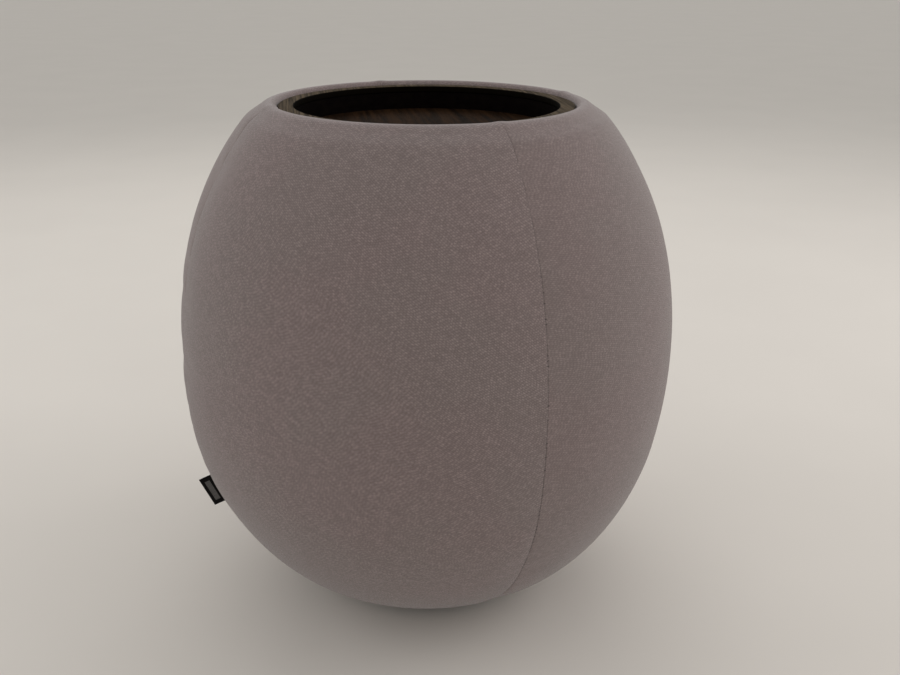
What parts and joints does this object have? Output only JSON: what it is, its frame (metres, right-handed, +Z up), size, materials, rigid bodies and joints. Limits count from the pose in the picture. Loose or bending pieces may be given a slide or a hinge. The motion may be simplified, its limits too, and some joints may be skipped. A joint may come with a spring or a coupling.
{
  "type": "upholstered side table",
  "caption": "Upholstered barrel-shaped side table whose sewn fabric cover rolls over a lip round a recessed wooden tray that lifts out.",
  "frame": {"origin": "on the floor, under the middle of the table", "axes": "+Z up along the table's axis, -Y towards the front, where one seam is a little to the right and the label is at the left"},
  "size_m": [0.4744, 0.4744, 0.488],
  "materials": {
    "cover_fabric": "matte",
    "wadding": "matte",
    "foam": "matte",
    "plywood": "matte",
    "tray_wood": "satin",
    "felt": "matte",
    "label": "matte",
    "bottom_cloth": "matte",
    "tape": "matte",
    "black_plastic": "satin",
    "steel": "satin"
  },
  "bodies": {
    "root": {"cover_panel_front": "cover_fabric", "cover_panel_right": "cover_fabric", "cover_panel_back": "cover_fabric", "cover_panel_left": "cover_fabric", "foam_body_left": "foam", "foam_body_right": "foam", "foam_lip": "foam", "wadding": "wadding", "base_board": "plywood", "top_board": "plywood", "mid_hoop": "plywood", "drum_skin": "plywood", "rib_1": "plywood", "rib_2": "plywood", "rib_3": "plywood", "rib_4": "plywood", "rib_5": "plywood", "rib_6": "plywood", "side_label": "label", "bottom_cloth": "bottom_cloth", "hook_tape": "tape", "loop_tape": "tape", "zip_tape_inner": "tape", "zip_tape_outer": "tape", "zip_coil": "black_plastic", "glide_1": "black_plastic", "glide_2": "black_plastic", "glide_3": "black_plastic", "glide_4": "black_plastic", "zip_stop_1": "steel", "zip_stop_2": "steel", "rib_screw_top_1": "steel", "rib_screw_top_2": "steel", "rib_screw_top_3": "steel", "rib_screw_top_4": "steel", "rib_screw_top_5": "steel", "rib_screw_top_6": "steel", "rib_screw_bottom_1": "steel", "rib_screw_bottom_2": "steel", "rib_screw_bottom_3": "steel", "rib_screw_bottom_4": "steel", "rib_screw_bottom_5": "steel", "rib_screw_bottom_6": "steel", "glide_screw_1": "steel", "glide_screw_2": "steel", "glide_screw_3": "steel", "glide_screw_4": "steel"},
    "tray": {"tray_rim": "tray_wood", "tray_wall": "tray_wood", "tray_floor": "tray_wood", "tray_felt_1": "felt", "tray_felt_2": "felt", "tray_felt_3": "felt", "tray_felt_4": "felt"},
    "zip_slider": {"zip_slider": "steel"}
  },
  "joints": [
    {"name": "tray_lift", "type": "slide", "parent": "root", "child": "tray", "axis": [0, 0, 1], "range_m": [0, 0.08]},
    {"name": "zip_slide", "type": "hinge", "parent": "root", "child": "zip_slider", "pos_m": [0, 0, 0.006], "axis": [0, 0, 1], "range_deg": [0, 300]}
  ]
}
